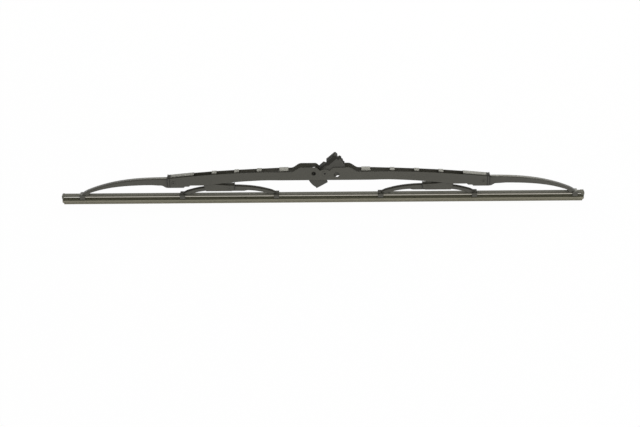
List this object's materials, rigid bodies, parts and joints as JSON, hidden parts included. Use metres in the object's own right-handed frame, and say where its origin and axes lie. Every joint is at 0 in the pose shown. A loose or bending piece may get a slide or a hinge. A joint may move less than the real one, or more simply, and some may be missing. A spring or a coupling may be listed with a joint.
{
  "type": "wiper blade",
  "caption": "Bow-frame windscreen wiper blade: ladder-cut bridge, rocking yokes with claws, rubber strip with steel splines, and a tilting clip adapter for a hooked arm.",
  "frame": {"origin": "centre of the adapter pivot, in the middle of the bridge's width", "axes": "+X along the blade towards the end with the shorter strip overhang, +Z away from the glass, +Y across the blade; the wiping edge lies at z = -39.7 mm and faces -Z"},
  "size_m": [0.6, 0.0142, 0.0611],
  "materials": {
    "black_steel": "satin black coat",
    "rivet_steel": "satin black coat",
    "adapter_plastic": "matte",
    "joint_plastic": "matte",
    "rubber": "matte",
    "spring_steel": "rolled"
  },
  "bodies": {
    "bridge": {"primary_bridge": "black_steel", "centre_rivet": "rivet_steel", "outer_rivet_left": "rivet_steel", "outer_rivet_right": "rivet_steel", "outer_liner_left": "joint_plastic", "outer_liner_right": "joint_plastic"},
    "adapter": {"adapter": "adapter_plastic"},
    "outer_yoke_left": {"outer_yoke_left": "black_steel", "inner_liner_left": "joint_plastic", "inner_rivet_left": "rivet_steel"},
    "outer_yoke_right": {"outer_yoke_right": "black_steel", "inner_liner_right": "joint_plastic", "inner_rivet_right": "rivet_steel"},
    "inner_yoke_left": {"inner_yoke_left": "black_steel"},
    "inner_yoke_right": {"inner_yoke_right": "black_steel"},
    "strip": {"wiper_rubber": "rubber", "spline_front": "spring_steel", "spline_back": "spring_steel"}
  },
  "joints": [
    {"name": "adapter_tilt", "type": "hinge", "parent": "bridge", "child": "adapter", "pos_m": [0, 0, 0], "axis": [0, -1, 0], "range_deg": [-42, 48]},
    {"name": "outer_left_rock", "type": "hinge", "parent": "bridge", "child": "outer_yoke_left", "pos_m": [-0.1732, 0, -0.0113], "axis": [0, -1, 0], "range_deg": [-1, 3], "stiffness_Nm_per_rad": 1.9},
    {"name": "outer_right_rock", "type": "hinge", "parent": "bridge", "child": "outer_yoke_right", "pos_m": [0.1814, 0, -0.0113], "axis": [0, 1, 0], "range_deg": [-1.1, 3.1]},
    {"name": "inner_left_rock", "type": "hinge", "parent": "outer_yoke_left", "child": "inner_yoke_left", "pos_m": [-0.1096, 0, -0.0189], "axis": [0, -1, 0], "range_deg": [-1.3, 0.5]},
    {"name": "inner_right_rock", "type": "hinge", "parent": "outer_yoke_right", "child": "inner_yoke_right", "pos_m": [0.1178, 0, -0.0189], "axis": [0, 1, 0], "range_deg": [-1.3, 0.5]},
    {"name": "strip_rise", "type": "slide", "parent": "bridge", "child": "strip", "axis": [0, 0, 1], "range_m": [-0.0018, 0.0052], "deforming": ["wiper_rubber", "spline_front", "spline_back"]}
  ],
  "couplings": [
    {"joint": "outer_right_rock", "follows": "outer_left_rock", "ratio": 1},
    {"joint": "inner_left_rock", "follows": "outer_left_rock", "ratio": -0.4},
    {"joint": "inner_right_rock", "follows": "outer_left_rock", "ratio": -0.4},
    {"joint": "strip_rise", "follows": "outer_left_rock", "m_per_rad": 0.096}
  ]
}
